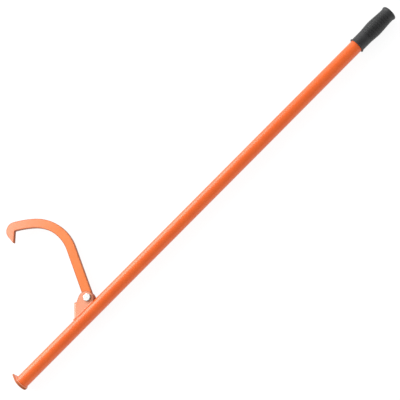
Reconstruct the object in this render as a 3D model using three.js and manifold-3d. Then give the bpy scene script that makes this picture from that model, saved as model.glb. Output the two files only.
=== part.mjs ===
// Cant hook: a steel lever with a swinging hook, for rolling and holding logs.
// Millimetres. +X runs along the tube from the toe to the grip, +Y points to the hook's side and
// +Z points up from the flat hook. The origin is the centre of the toe plate's outer face.

import * as THREE from 'three';
import { mergeVertices } from 'three/addons/utils/BufferGeometryUtils.js';
import Module from 'manifold-3d';

const wasm = await Module();
wasm.setup();

// Whole tool
const overallLength = 1219;
const fitGap = 0.3; // air between pieces that seat on each other
const cutOverrun = 6; // how far a cutting body runs past the piece it cuts

// Tube
const tubeDiameter = 32;
const tubeWall = 2;

// Toe plate, seen along the tube: a disc with a lip towards the hook
const toeThickness = 5;
const toeRim = 2.5; // plate beyond the tube
const lipReach = 14.5; // lip beyond the tube
const lipTipRadius = 2.6;
const lipTipThickness = 3;
const lipTaperLength = 7;

// Weld beads
const toeBeadLeg = 2;
const lipBeadLeg = 3.5;
const lipBeadWidth = 8;
const bracketBeadRadius = 3;

// Pivot
const pivotFromToe = 252.8;
const pivotHeight = 28.9; // above the tube's axis
const boltDiameter = 10;
const boltLength = 35; // under the head

// Clevis bracket, folded from sheet
const sheetThickness = 4;
const sideClearance = 1; // between the hook and each ear
const bendInnerRadius = 3;
const webAngle = THREE.MathUtils.degToRad(50.2); // between the web and the tube
const webOffset = 36.2; // from the pivot to the web's outer face
const webTopDrop = 8.3; // the web's top edge lies this far below the pivot, along the fold
const webTopWidth = 7.9; // square end of the fold before the ear's edge leaves it
const earRadius = 19;
const lobeOffset = 5.4; // the ear's round lobe is centred this far from the pivot, towards the web
const lobeDrop = 3; // and this far below it, along the fold

// Hook, cut from flat bar. It is drawn with the arm's middle line along +X and the bolt hole at X = 0
const barWidth = 22.5;
const barThickness = 10;
const barEdge = 0.8; // chamfer along the bar's edges
const armAngle = THREE.MathUtils.degToRad(69.34); // rest position, from the tube's direction
const armLength = 131.8; // straight stretch from the pivot
const bendRadius = 109.4; // to the middle of the bar
const bendSweep = THREE.MathUtils.degToRad(66.9);
const crownRadius = 260.3;
const crownSweep = THREE.MathUtils.degToRad(11.77);
const beakTurn = THREE.MathUtils.degToRad(78.8); // from the crown to the beak's inner edge
const beakRadius = 21.6; // rounding of the beak's back
const tipAngle = THREE.MathUtils.degToRad(42.1); // between the beak's inner edge and its cut end
const tipBlunt = 2.2; // taken off the sharp tip along both edges
const throatFillet = 2; // inner corner of the beak

// Bolt, washer and lock nut
const headAcrossFlats = 17;
const headHeight = 6.4;
const headChamfer = 0.6; // height of the chamfer on a hexagon's corners
const washerDiameter = 20;
const washerThickness = 2;
const nutHexHeight = 7;
const nutHeight = 10;
const nutCollarDiameter = 15.4;
const lockRingWall = 1.5;
const lockRingHeight = 2.2;
const lockRingDepth = 0.5; // below the nut's outer face

// Grip sleeve
const gripLength = 112;
const gripEndWall = 6;
const flangeDiameter = 39.4;
const flangeThickness = 2.4;
const neckDiameter = 36.3;
const swellDiameter = 40;
const waistDiameter = 35.4;
const rimDiameter = 37.7;
const gripEndRadius = 3; // rounding of the closed end
const gripDome = 2.5; // how far the closed end stands out in its middle
const neckShare = 0.25; // places along the grip, from the flange to the closed end
const swellShare = 0.52;
const waistShare = 0.86;
const rimShare = 0.935;

// Counts
const tubeSegments = 64;
const gripSegments = 48;
const boltSegments = 32;
const outlineSegments = 12;
const beadSides = 12;
const hexSides = 6;

// Worked out from the sizes above
const tubeRadius = tubeDiameter / 2;
const boltRadius = boltDiameter / 2;
const boreRadius = boltRadius + fitGap;
const innerHalfWidth = barThickness / 2 + sideClearance;
const outerHalfWidth = innerHalfWidth + sheetThickness;
const bendOuterRadius = bendInnerRadius + sheetThickness;
const rightAngle = Math.PI / 2;
const fullTurn = Math.PI * 2;

const orangePaint = new THREE.MeshStandardMaterial({ color: 0xe4572a, roughness: 0.35, metalness: 0.1 });
const zincPlate = new THREE.MeshStandardMaterial({ color: 0xd4d6d8, roughness: 0.3, metalness: 0.9 });
const blackRubber = new THREE.MeshStandardMaterial({ color: 0x2b2c2d, roughness: 0.8, metalness: 0 });
const nylon = new THREE.MeshStandardMaterial({ color: 0x2f63b8, roughness: 0.5, metalness: 0 });

// A closed geometry as a solid that can be cut and joined
function solidOf(geometry) {
  geometry.deleteAttribute('normal');
  geometry.deleteAttribute('uv');
  const merged = mergeVertices(geometry);
  const vertProperties = merged.attributes.position.array;
  const triVerts = Uint32Array.from(merged.index.array);
  return new wasm.Manifold(new wasm.Mesh({ numProp: 3, vertProperties, triVerts }));
}

function geometryOf(solid) {
  const { vertProperties, triVerts } = solid.getMesh();
  const geometry = new THREE.BufferGeometry();
  geometry.setAttribute('position', new THREE.BufferAttribute(vertProperties, 3));
  geometry.setIndex(new THREE.BufferAttribute(triVerts, 1));
  geometry.computeVertexNormals();
  return geometry;
}

function piece(name, geometry, material) {
  const mesh = new THREE.Mesh(geometry, material);
  mesh.name = name;
  return mesh;
}

// A profile of [radius, place along X] pairs turned about the X axis
function turned(profile, segments) {
  const points = profile.map(([radius, along]) => new THREE.Vector2(radius, along));
  return new THREE.LatheGeometry(points, segments).rotateZ(-rightAngle);
}

// The same about the Z axis
function turnedUp(profile, segments) {
  const points = profile.map(([radius, height]) => new THREE.Vector2(radius, height));
  return new THREE.LatheGeometry(points, segments).rotateX(rightAngle);
}

function extruded(shape, depth, bevel = 0) {
  const options = {
    depth: depth - bevel * 2,
    curveSegments: outlineSegments,
    bevelEnabled: bevel > 0,
    bevelThickness: bevel,
    bevelSize: bevel,
    bevelOffset: -bevel,
    bevelSegments: 1,
  };
  return new THREE.ExtrudeGeometry(shape, options).translate(0, 0, bevel);
}

// Unit vector of a heading in the XY plane, and the one to its left
const heading = (angle) => new THREE.Vector2(Math.cos(angle), Math.sin(angle));
const leftOf = (angle) => heading(angle + rightAngle);

// Steel tube, open at both ends, from the toe plate to the closed end of the grip
function tubeGeometry() {
  const start = toeThickness + fitGap;
  const end = overallLength - gripEndWall - fitGap;
  const inside = tubeRadius - tubeWall;
  const profile = [
    [inside, start],
    [tubeRadius, start],
    [tubeRadius, end],
    [inside, end],
    [inside, start],
  ];
  return turned(profile, tubeSegments);
}

// A solid rod on the tube's axis, with the pivot at the origin, that leaves a gap round the tube
function tubeCut() {
  const length = overallLength * 2;
  const radius = tubeRadius + fitGap;
  const rod = new THREE.CylinderGeometry(radius, radius, length, tubeSegments);
  return solidOf(rod.rotateZ(rightAngle).translate(0, -pivotHeight, 0));
}

// Toe plate drawn in the YZ plane: X of the shape is the tool's +Y. Straight flanks run from the
// disc to the lip's round tip and touch both
function toeOutline() {
  const discRadius = tubeRadius + toeRim;
  const tipCentre = tubeRadius + lipReach - lipTipRadius;
  const touch = Math.acos((discRadius - lipTipRadius) / tipCentre);
  const root = heading(touch).multiplyScalar(discRadius);
  const shape = new THREE.Shape();
  shape.moveTo(root.x, root.y);
  shape.absarc(0, 0, discRadius, touch, fullTurn - touch);
  shape.absarc(tipCentre, 0, lipTipRadius, -touch, touch);
  shape.closePath();
  return shape;
}

// Stands a shape drawn in the YZ plane upright, its depth along +X
function facingToe(geometry) {
  const turn = new THREE.Matrix4().makeBasis(
    new THREE.Vector3(0, 1, 0),
    new THREE.Vector3(0, 0, 1),
    new THREE.Vector3(1, 0, 0),
  );
  return geometry.applyMatrix4(turn);
}

// What is ground off the lip's inner face, drawn in the XY plane
function lipTaperCut() {
  const tip = tubeRadius + lipReach;
  const slope = (toeThickness - lipTipThickness) / lipTaperLength;
  const shape = new THREE.Shape();
  shape.moveTo(toeThickness, tip - lipTaperLength);
  shape.lineTo(toeThickness + cutOverrun, tip - lipTaperLength);
  shape.lineTo(toeThickness + cutOverrun, tip + cutOverrun);
  shape.lineTo(lipTipThickness - slope * cutOverrun, tip + cutOverrun);
  shape.closePath();
  const width = tubeDiameter + cutOverrun;
  return solidOf(extruded(shape, width).translate(0, 0, -width / 2));
}

function toePlateGeometry() {
  const plate = solidOf(facingToe(extruded(toeOutline(), toeThickness)));
  return geometryOf(plate.subtract(lipTaperCut()));
}

// Bead round the tube where it meets the plate
function toeBeadRing() {
  const inside = tubeRadius + fitGap;
  const start = toeThickness + fitGap;
  const crown = toeBeadLeg * Math.SQRT1_2;
  const profile = [
    [inside, start],
    [inside + toeBeadLeg, start],
    [inside + crown, start + crown],
    [inside, start + toeBeadLeg],
    [inside, start],
  ];
  return solidOf(turned(profile, tubeSegments));
}

// The heavier fillet under the lip, drawn in the XY plane
function lipBead() {
  const start = toeThickness + fitGap;
  const shape = new THREE.Shape();
  shape.moveTo(start, 0);
  shape.lineTo(start + lipBeadLeg, 0);
  shape.lineTo(start + lipBeadLeg, tubeRadius + fitGap);
  shape.lineTo(start, tubeRadius + fitGap + lipBeadLeg);
  shape.closePath();
  const fillet = extruded(shape, lipBeadWidth).translate(0, 0, -lipBeadWidth / 2);
  const bore = new THREE.CylinderGeometry(
    tubeRadius + fitGap,
    tubeRadius + fitGap,
    tubeDiameter,
    tubeSegments,
  );
  return solidOf(fillet).subtract(solidOf(bore.rotateZ(rightAngle)));
}

function toeWeldGeometry() {
  return geometryOf(toeBeadRing().add(lipBead()));
}

// X, from the pivot, where a line parallel to the web crosses a height above the tube's axis. The
// line lies at an offset from the pivot, towards the web
function slantedX(offset, height) {
  return ((height - pivotHeight) * Math.cos(webAngle) - offset) / Math.sin(webAngle);
}

// The ear's edge, with the pivot at the origin. The foot runs into the tube and is cut off there,
// and the edge on the grip side runs parallel to the web
function earOutline() {
  const along = heading(webAngle);
  const out = leftOf(webAngle);
  const place = (offset, drop) => out.clone().multiplyScalar(offset).addScaledVector(along, -drop);
  const webTop = place(webOffset, webTopDrop);
  const foldEnd = place(webOffset - webTopWidth, webTopDrop);
  const lobe = place(lobeOffset, lobeDrop);
  const reach = foldEnd.clone().sub(lobe);
  const tangent = reach.angle() - Math.acos(earRadius / reach.length());
  const shape = new THREE.Shape();
  shape.moveTo(slantedX(webOffset, 0), -pivotHeight);
  shape.lineTo(slantedX(lobeOffset - earRadius, 0), -pivotHeight);
  shape.absarc(lobe.x, lobe.y, earRadius, webAngle - rightAngle, tangent);
  shape.lineTo(foldEnd.x, foldEnd.y);
  shape.lineTo(webTop.x, webTop.y);
  shape.closePath();
  return shape;
}

// A block with two edges rounded as the fold rounds them. In its own plane X runs from the web
// into the bracket and Y is the tool's Z; it is then laid along the fold
function foldedBlock(halfWidth, setback, cornerRadius) {
  const reach = webOffset + earRadius;
  const cornerX = setback + cornerRadius;
  const cornerY = halfWidth - cornerRadius;
  const shape = new THREE.Shape();
  shape.moveTo(reach, halfWidth);
  shape.lineTo(cornerX, halfWidth);
  shape.absarc(cornerX, cornerY, cornerRadius, rightAngle, rightAngle * 2);
  shape.absarc(cornerX, -cornerY, cornerRadius, rightAngle * 2, rightAngle * 3);
  shape.lineTo(reach, -halfWidth);
  shape.closePath();
  const along = heading(webAngle);
  const out = leftOf(webAngle);
  const foldTop = earRadius + cutOverrun;
  const foldLength = foldTop + webOffset + pivotHeight * 2;
  const turn = new THREE.Matrix4().makeBasis(
    new THREE.Vector3(-out.x, -out.y, 0),
    new THREE.Vector3(0, 0, 1),
    new THREE.Vector3(-along.x, -along.y, 0),
  );
  const corner = out.multiplyScalar(webOffset).addScaledVector(along, foldTop);
  turn.setPosition(corner.x, corner.y, 0);
  return solidOf(extruded(shape, foldLength).applyMatrix4(turn));
}

function boltHole() {
  const length = (outerHalfWidth + cutOverrun) * 2;
  const rod = new THREE.CylinderGeometry(boreRadius, boreRadius, length, boltSegments);
  return solidOf(rod.rotateX(rightAngle));
}

function bracketGeometry() {
  const width = (outerHalfWidth + cutOverrun) * 2;
  const ears = solidOf(extruded(earOutline(), width).translate(0, 0, -width / 2));
  const folded = foldedBlock(outerHalfWidth, 0, bendOuterRadius)
    .subtract(foldedBlock(innerHalfWidth, sheetThickness, bendInnerRadius));
  return geometryOf(ears.intersect(folded).subtract(tubeCut()).subtract(boltHole()));
}

// Cuts a bead clear of the bracket and of the tube
function trimmedBead(bead) {
  const bracket = foldedBlock(outerHalfWidth + fitGap, -fitGap, bendOuterRadius + fitGap);
  return geometryOf(bead.subtract(bracket).subtract(tubeCut()));
}

// Bead along the foot of one ear; side is 1 for the front ear and -1 for the back one
function earBeadGeometry(side) {
  const height = Math.sqrt(tubeRadius ** 2 - outerHalfWidth ** 2);
  const start = slantedX(webOffset, height) + bendOuterRadius / Math.sin(webAngle);
  const end = slantedX(lobeOffset - earRadius, height);
  const length = end - start - bracketBeadRadius * 2;
  const middle = (start + end) / 2;
  const bead = new THREE.CapsuleGeometry(bracketBeadRadius, length, beadSides / 4, beadSides);
  bead.rotateZ(rightAngle).translate(middle, height - pivotHeight, side * outerHalfWidth);
  return trimmedBead(solidOf(bead));
}

// Bead across the tube under the folded web
function webBeadGeometry() {
  const halfSpan = outerHalfWidth - bracketBeadRadius;
  const points = [];
  for (let step = 0; step <= beadSides; step += 1) {
    const z = THREE.MathUtils.lerp(-halfSpan, halfSpan, step / beadSides);
    const height = Math.sqrt(tubeRadius ** 2 - z ** 2);
    points.push(new THREE.Vector3(slantedX(webOffset, height), height - pivotHeight, z));
  }
  const section = new THREE.Shape().absarc(0, 0, bracketBeadRadius, 0, fullTurn);
  const run = new THREE.ExtrudeGeometry(section, {
    steps: beadSides,
    curveSegments: beadSides / 2,
    extrudePath: new THREE.CatmullRomCurve3(points),
  });
  const cap = (end) => {
    const ball = new THREE.SphereGeometry(bracketBeadRadius, beadSides, beadSides / 2);
    return solidOf(ball.translate(end.x, end.y, end.z));
  };
  const bead = solidOf(run).add(cap(points[0])).add(cap(points[beadSides]));
  return trimmedBead(bead);
}

// The hook's outline: straight arm, main bend, flatter crown and a beak with a slanting cut end
function hookOutline() {
  const half = barWidth / 2;
  const bendEnd = bendSweep;
  const crownEnd = bendEnd + crownSweep;
  const beakHeading = crownEnd + beakTurn;
  const cutHeading = beakHeading + tipAngle;
  const bendCentre = new THREE.Vector2(armLength, bendRadius);
  const crownCentre = bendCentre.clone().addScaledVector(leftOf(bendEnd), crownRadius - bendRadius);
  const throat = crownCentre.clone().addScaledVector(leftOf(crownEnd), half - crownRadius);
  const backCentre = throat.clone().addScaledVector(leftOf(crownEnd), beakRadius - barWidth);
  const cutReach = beakRadius + backCentre.clone().sub(throat).dot(leftOf(cutHeading + Math.PI));
  const tip = throat.clone().addScaledVector(heading(beakHeading), cutReach / Math.sin(tipAngle));
  const tipOuter = tip.clone().addScaledVector(heading(cutHeading), -tipBlunt);
  const tipInner = tip.clone().addScaledVector(heading(beakHeading), -tipBlunt);
  const throatStart = throat.clone().addScaledVector(heading(beakHeading), throatFillet);
  const crownStart = crownEnd - throatFillet / (crownRadius - half);
  const crownPoint = crownCentre.clone().addScaledVector(leftOf(crownStart), half - crownRadius);

  const shape = new THREE.Shape();
  shape.moveTo(0, -half);
  shape.lineTo(armLength, -half);
  shape.absarc(bendCentre.x, bendCentre.y, bendRadius + half, -rightAngle, bendEnd - rightAngle);
  shape.absarc(
    crownCentre.x,
    crownCentre.y,
    crownRadius + half,
    bendEnd - rightAngle,
    crownEnd - rightAngle,
  );
  shape.absarc(
    backCentre.x,
    backCentre.y,
    beakRadius,
    crownEnd - rightAngle,
    cutHeading - rightAngle,
  );
  shape.lineTo(tipOuter.x, tipOuter.y);
  shape.lineTo(tipInner.x, tipInner.y);
  shape.lineTo(throatStart.x, throatStart.y);
  shape.quadraticCurveTo(throat.x, throat.y, crownPoint.x, crownPoint.y);
  shape.absarc(
    crownCentre.x,
    crownCentre.y,
    crownRadius - half,
    crownStart - rightAngle,
    bendEnd - rightAngle,
    true,
  );
  shape.absarc(bendCentre.x, bendCentre.y, bendRadius - half, bendEnd - rightAngle, -rightAngle, true);
  shape.lineTo(0, half);
  shape.absarc(0, 0, half, rightAngle, rightAngle * 3);
  shape.holes.push(new THREE.Path().absarc(0, 0, boreRadius, 0, fullTurn, true));
  return shape;
}

function hookGeometry() {
  return extruded(hookOutline(), barThickness, barEdge).translate(0, 0, -barThickness / 2);
}

// A hexagon with its corners turned down at the top, standing on Z = 0
function hexagon(acrossFlats, height) {
  const cornerRadius = acrossFlats / 2 / Math.cos(Math.PI / hexSides);
  const prism = new THREE.CylinderGeometry(cornerRadius, cornerRadius, height, hexSides);
  const topRadius = acrossFlats / 2;
  const chamferStart = height - headChamfer - (cornerRadius - topRadius) / 2;
  const profile = [
    [0, 0],
    [cornerRadius + fitGap, 0],
    [cornerRadius + fitGap, chamferStart],
    [topRadius, height],
    [0, height],
  ];
  const body = solidOf(prism.rotateX(rightAngle).translate(0, 0, height / 2));
  return body.intersect(solidOf(turnedUp(profile, boltSegments)));
}

// Bolt with its head's seat at Z = 0, pointing down
function boltGeometry() {
  const chamfer = boltRadius / 4;
  const shankStart = fitGap; // a short overlap joins the shank to the head
  const profile = [
    [0, -boltLength],
    [boltRadius - chamfer, -boltLength],
    [boltRadius, chamfer - boltLength],
    [boltRadius, shankStart],
    [0, shankStart],
  ];
  const shank = solidOf(turnedUp(profile, boltSegments));
  return geometryOf(hexagon(headAcrossFlats, headHeight).add(shank));
}

function washerGeometry() {
  const profile = [
    [boreRadius, 0],
    [washerDiameter / 2, 0],
    [washerDiameter / 2, washerThickness],
    [boreRadius, washerThickness],
    [boreRadius, 0],
  ];
  return turnedUp(profile, boltSegments);
}

// Lock nut standing on Z = 0: a hexagon, a round collar above it and a seat for the nylon ring
function nutGeometry() {
  const collarRadius = nutCollarDiameter / 2;
  const seatRadius = boreRadius + lockRingWall + fitGap;
  const seatBottom = nutHeight - lockRingDepth - lockRingHeight - fitGap;
  const collarProfile = [
    [0, 0],
    [collarRadius, 0],
    [collarRadius, nutHeight - headChamfer],
    [collarRadius - headChamfer, nutHeight],
    [0, nutHeight],
  ];
  const boreProfile = [
    [0, -cutOverrun],
    [boreRadius, -cutOverrun],
    [boreRadius, seatBottom],
    [seatRadius, seatBottom],
    [seatRadius, nutHeight + cutOverrun],
    [0, nutHeight + cutOverrun],
  ];
  return geometryOf(
    hexagon(headAcrossFlats, nutHexHeight)
      .add(solidOf(turnedUp(collarProfile, boltSegments)))
      .subtract(solidOf(turnedUp(boreProfile, boltSegments))),
  );
}

function lockRingGeometry() {
  const bottom = nutHeight - lockRingDepth - lockRingHeight;
  const profile = [
    [boreRadius, bottom],
    [boreRadius + lockRingWall, bottom],
    [boreRadius + lockRingWall, bottom + lockRingHeight],
    [boreRadius, bottom + lockRingHeight],
    [boreRadius, bottom],
  ];
  return turnedUp(profile, boltSegments);
}

// Rubber sleeve. Its outside is one smooth curve from the flange to the rounded closed end
function gripGeometry() {
  const start = overallLength - gripLength;
  const bodyStart = start + flangeThickness;
  const boreEnd = overallLength - gripEndWall;
  const bore = tubeRadius + fitGap;
  const place = (share) => start + gripLength * share;
  const rimEnd = overallLength - gripDome - gripEndRadius;
  const side = new THREE.SplineCurve([
    new THREE.Vector2(neckDiameter / 2, bodyStart),
    new THREE.Vector2(neckDiameter / 2, place(neckShare)),
    new THREE.Vector2(swellDiameter / 2, place(swellShare)),
    new THREE.Vector2(waistDiameter / 2, place(waistShare)),
    new THREE.Vector2(rimDiameter / 2, place(rimShare)),
    new THREE.Vector2(rimDiameter / 2, rimEnd),
  ]).getPoints(outlineSegments * 2);
  const profile = [
    [bore, start],
    [flangeDiameter / 2, start],
    [flangeDiameter / 2, bodyStart],
    ...side.map((point) => [point.x, point.y]),
  ];
  const flatRadius = rimDiameter / 2 - gripEndRadius;
  for (let step = 1; step <= outlineSegments / 2; step += 1) {
    const angle = rightAngle * (step / (outlineSegments / 2));
    profile.push([
      flatRadius + gripEndRadius * Math.cos(angle),
      rimEnd + gripEndRadius * Math.sin(angle),
    ]);
  }
  profile.push([flatRadius / 2, overallLength - gripDome / 4]);
  profile.push([0, overallLength]);
  profile.push([0, boreEnd]);
  profile.push([bore, boreEnd]);
  profile.push([bore, start]);
  return turned(profile, gripSegments);
}

const cantHook = new THREE.Group();

cantHook.add(
  piece('handle_tube', tubeGeometry(), orangePaint),
  piece('grip_sleeve', gripGeometry(), blackRubber),
  piece('toe_plate', toePlateGeometry(), orangePaint),
  piece('toe_weld', toeWeldGeometry(), orangePaint),
);

// Everything about the pivot is placed from the pivot, on the hook's middle plane
const pivot = new THREE.Group();
pivot.position.set(pivotFromToe, pivotHeight, 0);
cantHook.add(pivot);

const hookArm = piece('hook_arm', hookGeometry(), orangePaint);
hookArm.rotation.z = armAngle;

const bolt = piece('pivot_bolt', boltGeometry(), zincPlate);
bolt.position.z = outerHalfWidth + fitGap;

const washer = piece('pivot_washer', washerGeometry(), zincPlate);
washer.position.z = -outerHalfWidth - fitGap - washerThickness;

// The nut hangs upside down under the washer, with its ring in it
const nutGroup = new THREE.Group();
nutGroup.position.z = washer.position.z - fitGap;
nutGroup.rotation.x = Math.PI;
nutGroup.add(
  piece('pivot_nut', nutGeometry(), zincPlate),
  piece('nut_lock_ring', lockRingGeometry(), nylon),
);

pivot.add(
  piece('clevis_bracket', bracketGeometry(), orangePaint),
  piece('bracket_weld_front', earBeadGeometry(1), orangePaint),
  piece('bracket_weld_back', earBeadGeometry(-1), orangePaint),
  piece('bracket_weld_web', webBeadGeometry(), orangePaint),
  hookArm,
  bolt,
  washer,
  nutGroup,
);

export default cantHook;
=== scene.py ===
import math

import bmesh
import bpy
import numpy as np
from mathutils import Matrix, Vector
from mathutils.geometry import delaunay_2d_cdt


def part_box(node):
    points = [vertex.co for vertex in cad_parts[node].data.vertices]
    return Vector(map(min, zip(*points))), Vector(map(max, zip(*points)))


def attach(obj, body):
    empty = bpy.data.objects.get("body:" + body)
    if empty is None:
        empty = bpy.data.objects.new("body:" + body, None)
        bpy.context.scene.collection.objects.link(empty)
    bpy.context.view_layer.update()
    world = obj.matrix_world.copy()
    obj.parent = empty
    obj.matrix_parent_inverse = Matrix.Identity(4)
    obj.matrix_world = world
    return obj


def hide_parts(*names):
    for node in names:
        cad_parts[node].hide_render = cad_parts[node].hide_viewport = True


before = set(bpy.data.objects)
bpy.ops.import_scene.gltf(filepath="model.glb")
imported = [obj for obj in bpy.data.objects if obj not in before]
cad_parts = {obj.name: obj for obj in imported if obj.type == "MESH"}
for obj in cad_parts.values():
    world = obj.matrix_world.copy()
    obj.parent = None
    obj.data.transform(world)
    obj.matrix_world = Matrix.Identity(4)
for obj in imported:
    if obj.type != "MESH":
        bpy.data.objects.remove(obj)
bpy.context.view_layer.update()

MM = 0.001
QUARTER = math.pi / 2
SMOOTH_ANGLE = math.radians(38)  # sharper edges are drawn as edges
EDGE_STEPS = 4  # faces across a rounded edge

# Whole tool
OVERALL_LENGTH = 1219
GAP = 0.3  # air between pieces that seat on each other

# Tube
TUBE_RADIUS = 16
TUBE_WALL = 2
TUBE_EDGE = 0.4
TUBE_SIDES = 144

# Toe plate, seen along the tube: a disc with a lip towards the hook
TOE_THICKNESS = 5
TOE_RADIUS = 18.5
TOE_EDGE = 0.6
LIP_REACH = 30.5
LIP_TIP_RADIUS = 2.6
LIP_TIP_THICKNESS = 3
LIP_TAPER = 7
LIP_CUT = 0.8  # between the cuts that let the plate bend where the taper starts

# Clevis bracket, folded from sheet round the pivot. The web is the fold's flat middle
PIVOT = Vector((252.8, 28.9, 0))
EAR_INNER = 6
EAR_OUTER = 10
SHEET = 4
SHEET_EDGE = 0.5
BEND_INNER = 3
WEB_ANGLE = math.radians(50.2)  # between the web and the tube
WEB_OFFSET = 36.2  # from the pivot to the web's outer face
WEB_TOP_DROP = 8.3  # from the pivot down to the web's top edge, along the fold
WEB_TOP_WIDTH = 7.9  # square end of the fold before the ear's edge leaves it
EAR_RADIUS = 19
LOBE_OFFSET = 5.4  # from the pivot to the middle of the ear's lobe, towards the web
LOBE_DROP = 3  # and along the fold
FOOT_FIT = 8  # the sheet's foot follows the tube through its thickness this far up
BEND_CUTS = 12  # faces round each bend

# The bracket's flat pattern: half of the flat web, the bend's middle line, and the places across
# the fold at which the bend ends and the pivot lies
WEB_HALF = EAR_INNER - BEND_INNER
BEND_MIDDLE = BEND_INNER + SHEET / 2
BEND_END = WEB_HALF + BEND_MIDDLE * QUARTER
PIVOT_ACROSS = BEND_END + WEB_OFFSET - SHEET - BEND_INNER

# Weld beads. A pool is one ripple of a bead
TOE_BEAD_LEG = 2
LIP_BEAD_EXTRA = 1.45
LIP_BEAD_SPREAD = math.radians(13)
TOE_BEAD_POOL = 1.9
BRACKET_BEAD_LEG = 2.7
BRACKET_BEAD_END = 2.4  # over which the bead rounds off
BRACKET_BEAD_LEAN = 0.2  # of its foot into the tube
BRACKET_BEAD_POOL = 2.1
EAR_BEAD_START = 1.5  # past the bend
EAR_BEAD_REACH = 13.3  # past the pivot
WEB_BEAD_END = 1  # short of the bends' ends
BEAD_RIPPLE = 0.13
BEAD_CRESCENT = 0.42  # how far a pool's middle runs ahead of its ends
BEAD_SIDES = 9
BEAD_STEP = 0.22

# Hook, cut from flat bar
BAR_WIDTH = 22.5
BAR_THICKNESS = 10
BAR_EDGE = 0.8
ARM_ANGLE = math.radians(69.34)  # rest position, from the tube's direction
ARM_LENGTH = 131.8
BEND_RADIUS = 109.4  # to the middle of the bar, as the crown's
BEND_SWEEP = math.radians(66.9)
CROWN_RADIUS = 260.3
CROWN_SWEEP = math.radians(11.77)
BEAK_TURN = math.radians(78.8)
BEAK_RADIUS = 21.6
TIP_ANGLE = math.radians(42.1)
TIP_BLUNT = 2.2
THROAT_FILLET = 2
OUTLINE_INSET = 0.02  # keeps the curves inside the CAD's box
SHEEN_START, SHEEN_SWEEP = 0.5, 1.6  # where round the bend, in radians, a painted sheen starts to pale the coat, and over how far

# Painted shade darkens the edges of the hook and the bracket, where the coat is also thinner
# and duller. It fades out over a rim of their faces
RIM = 2.0
RIM_SHARE = 0.62  # how strong the painted shade is where the rim meets the rounded edge
RIM_ROOM = 0.36  # the rim ends at most this share of the plate's width in from its outline
RIM_LEAST = 1.02  # and at least this many times the edge's radius

# Bolt, washer and lock nut
ROUND_SIDES = 96  # points round each of them
BOLT_RADIUS = 5
BOLT_LENGTH = 35  # under the head
BOLT_TIP_RADIUS = 3.6
BOLT_TIP_EASE = 0.15  # rounds the edge of the tip
BOLT_TIP_RISE = 1.1  # how much the bolt widens per millimetre up from the tip
BORE_RADIUS = 5.3
ACROSS_FLATS = 17
CORNER_SHARE = 1.142  # eased corners, as a share of the hexagon's inner radius
HEAD_HEIGHT = 6.4
FACE_RADIUS = 8.15  # of the round face under the head
FACE_HEIGHT = 0.5
THREAD_PITCH = 1.5
THREAD_LENGTH = 17
THREAD_DEPTH = 0.62  # if its crest were sharp
THREAD_CREST = 0.12  # width of the flat crest, as a share of the pitch
THREAD_STEP = 0.14  # between rows of points along the thread
WASHER_RADIUS = 10
WASHER_THICKNESS = 2
NUT_HEX_HEIGHT = 7
NUT_HEIGHT = 10
COLLAR_RADIUS = 7.7
COLLAR_EDGE = 0.6
RING_WALL = 1.5
RING_HEIGHT = 2.2
RING_DEPTH = 0.5  # under the collar's rim
WASHER_EDGE, RING_EDGE = 0.35, 0.3
NUT_SEAT = -EAR_OUTER - WASHER_THICKNESS - 2 * GAP

# Grip: radii of its side at shares of its length, then its end, its flange and its ribs
GRIP_LENGTH = 112
GRIP_END_WALL = 6
GRIP_SIDE = ((0, 18.15), (0.25, 18.15), (0.52, 20), (0.86, 17.7), (0.935, 18.85))
GRIP_END_RADIUS = 3
GRIP_DOME = 2.5
GRIP_LEAD = 0.6  # chamfer of the mouth
GATE_MARK = ((2.6, 0), (2.2, 0.5), (1.5, 0.8), (0, 0.9))  # radii and depths of a small dent
FLANGE_RADIUS = 19.7
FLANGE_THICKNESS = 2.4
FLANGE_EDGE = 0.7
FLANGE_FILLET = 0.8
RIBS_START, RIBS_END = 26, 95  # from the flange's end of the sleeve
RIB_PITCH = 3.3
RIB_BLOCKS = 18  # blocks round the sleeve
RIB_DEPTH = 0.55
RIB_GROOVES = (2.2, 0.5)  # powers that set the width of a wide and a narrow groove
RIB_BLOCK_ENDS = 3.2  # how steeply a block's ends drop
RIB_FADE = 4
RIB_STEP = 0.46  # between rows of points along the ribs
SEAM_HEIGHT, SEAM_WIDTH = 0.12, 0.45
SKIN_INSET = 0.2  # keeps the seam inside the CAD's box

# Camera, as the photograph was taken
PICTURE_WIDTH = 400  # pixels
FOCAL_LENGTH = 879  # pixels
SENSOR_WIDTH = 36
CAMERA_LEAN = math.radians(22)  # about the tube's axis, away from the hook
CAMERA_PLACE = (0.59743, 0.00527, 2.03928)  # metres, before the lean
CAMERA_RIGHT = Vector((0.70517, -0.70904, 0))

# Light: levels at which a colour renders about as written. What these rays meet is "seen"
SEEING_RAYS = ("Is Camera Ray", "Is Glossy Ray", "Is Transmission Ray")
ROOM_LIGHT = 0.82
ROOM_SEEN = 1.0
CEILING_SEEN = 0.02
CEILING_UP = (0, -0.5, 0.866)  # the direction of the ceiling's middle
CEILING_EDGE = (0.45, 0.75)  # cosines between which the room turns into the ceiling
PANEL_PLACE = (-0.5, 2.14, 1.3)  # metres, as the panel's other sizes
PANEL_TARGET = (-0.5, 0.05, 0)
PANEL_SIZE = (3.2, 2.0)
PANEL_RADIANCE = 3.9
FLOOR_COLOUR = 0.16
FLOOR_LIGHT = 0.26
FLOOR_SEEN = 0.88
FLOOR_GAP = 0.0002  # metres under the lowest piece
FLOOR_REACH = 20  # metres
FLOOR_CORNERS = ((-1, -1), (1, -1), (1, 1), (-1, 1))


# Meshes


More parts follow.
